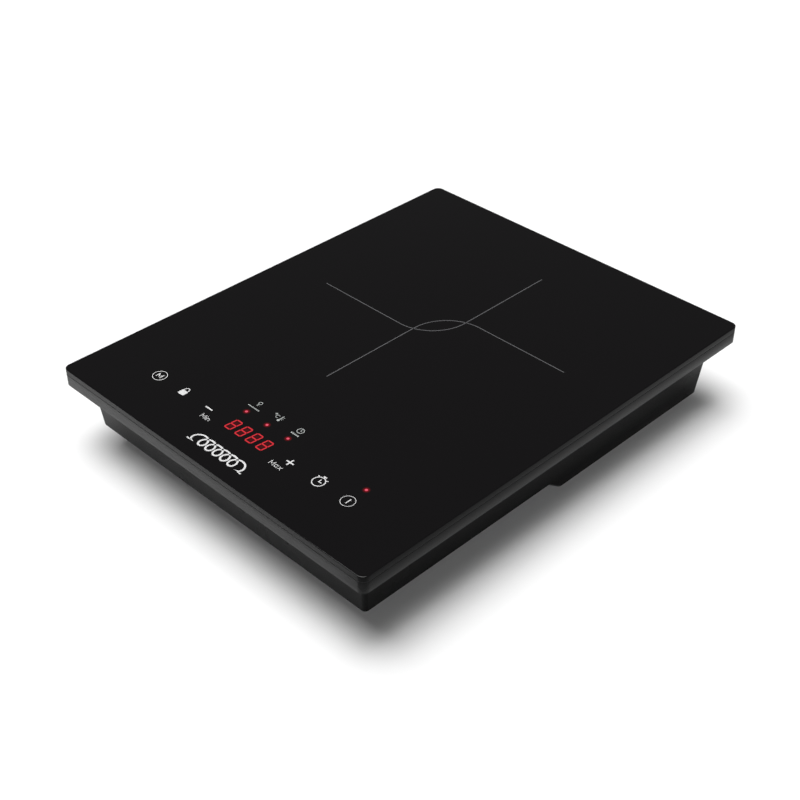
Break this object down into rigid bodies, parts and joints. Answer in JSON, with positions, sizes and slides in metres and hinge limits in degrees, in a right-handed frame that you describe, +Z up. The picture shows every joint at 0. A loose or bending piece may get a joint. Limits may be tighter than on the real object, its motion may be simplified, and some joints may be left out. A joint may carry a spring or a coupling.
{
  "type": "electric induction cooktop",
  "caption": "Portable induction cooktop: black glass plate on a slim rim, over a stepped tray with coil, fan and power electronics.",
  "frame": {"origin": "centre of the footprint, on the surface that the feet stand on", "axes": "+X to the user's right, +Y to the back, +Z up; the controls are along the front edge, towards -Y"},
  "size_m": [0.28, 0.35, 0.0615],
  "materials": {
    "glass": "opaque black glass-ceramic, polished top",
    "bond": "black silicone line",
    "rim": "fine satin moulded plastic, dark grey",
    "tray": "fine-textured moulded plastic, black",
    "foot": "soft matt rubber",
    "screw": "zinc-plated steel",
    "mica": "flaky mica sheet, satin",
    "copper": "enamelled copper strands",
    "carrier": "heat-proof moulded plastic",
    "ferrite": "sintered dark grey ferrite",
    "ceramic": "white ceramic",
    "spring": "spring wire",
    "fan": "black moulded plastic",
    "magnet": "bonded magnet",
    "shaft": "ground steel",
    "bronze": "sintered bronze",
    "lamination": "stacked laminations",
    "board": "green solder mask",
    "lead_red": "lead insulation",
    "heatsink": "extruded aluminium",
    "device": "moulded epoxy package",
    "film_cap": "yellow box capacitor",
    "line_cap": "blue box capacitor",
    "can_cap": "sleeved capacitor can",
    "core_green": "coated ring core",
    "bobbin": "taped bobbin",
    "brass": "turned brass",
    "socket": "white connector plastic",
    "terminal": "terminal block plastic",
    "fuse_glass": "capped glass tube",
    "display": "red filter over the digits",
    "lamp": "red lamp lens",
    "ribbon": "flat grey cable",
    "gland": "black nylon"
  },
  "bodies": {
    "base": {"glass_top": "glass", "glass_bond": "bond", "upper_housing": "rim", "bottom_housing": "tray", "housing_screws": "screw", "foot_front_left": "foot", "foot_front_right": "foot", "foot_rear_left": "foot", "foot_rear_right": "foot", "mica_sheet": "mica", "coil_winding": "copper", "coil_carrier": "carrier", "ferrite_bars": "ferrite", "carrier_screws": "screw", "coil_leads": "copper", "pan_sensor": "ceramic", "sensor_spring": "spring", "fan_frame": "fan", "fan_bush": "bronze", "fan_stator": "lamination", "fan_windings": "copper", "fan_board": "board", "fan_screws": "screw", "fan_lead": "lead_red", "air_guide": "fan", "power_board": "board", "board_screws": "screw", "heatsink": "heatsink", "switch_transistor": "device", "bridge_rectifier": "device", "heatsink_screws": "screw", "resonant_capacitor": "film_cap", "filter_capacitor": "film_cap", "line_capacitor": "line_cap", "storage_capacitors": "can_cap", "choke_core": "core_green", "choke_winding": "copper", "transformer_core": "ferrite", "transformer_bobbin": "bobbin", "fuse": "fuse_glass", "varistor": "line_cap", "coil_terminals": "brass", "board_sockets": "socket", "mains_terminals": "terminal", "control_board": "board", "control_bracket": "fan", "bracket_screws": "screw", "display_module": "display", "indicator_lamps": "lamp", "touch_springs": "spring", "controller_chip": "device", "buzzer": "fan", "ribbon_cable": "ribbon", "cord_gland": "gland", "gland_nut": "gland"},
    "fan_rotor": {"fan_impeller": "fan", "fan_magnet": "magnet", "fan_shaft": "shaft"}
  },
  "joints": [
    {"name": "fan_spin", "type": "hinge", "parent": "base", "child": "fan_rotor", "pos_m": [-0.062, 0.098, 0.02], "axis": [0, 0, 1], "continuous": true}
  ]
}
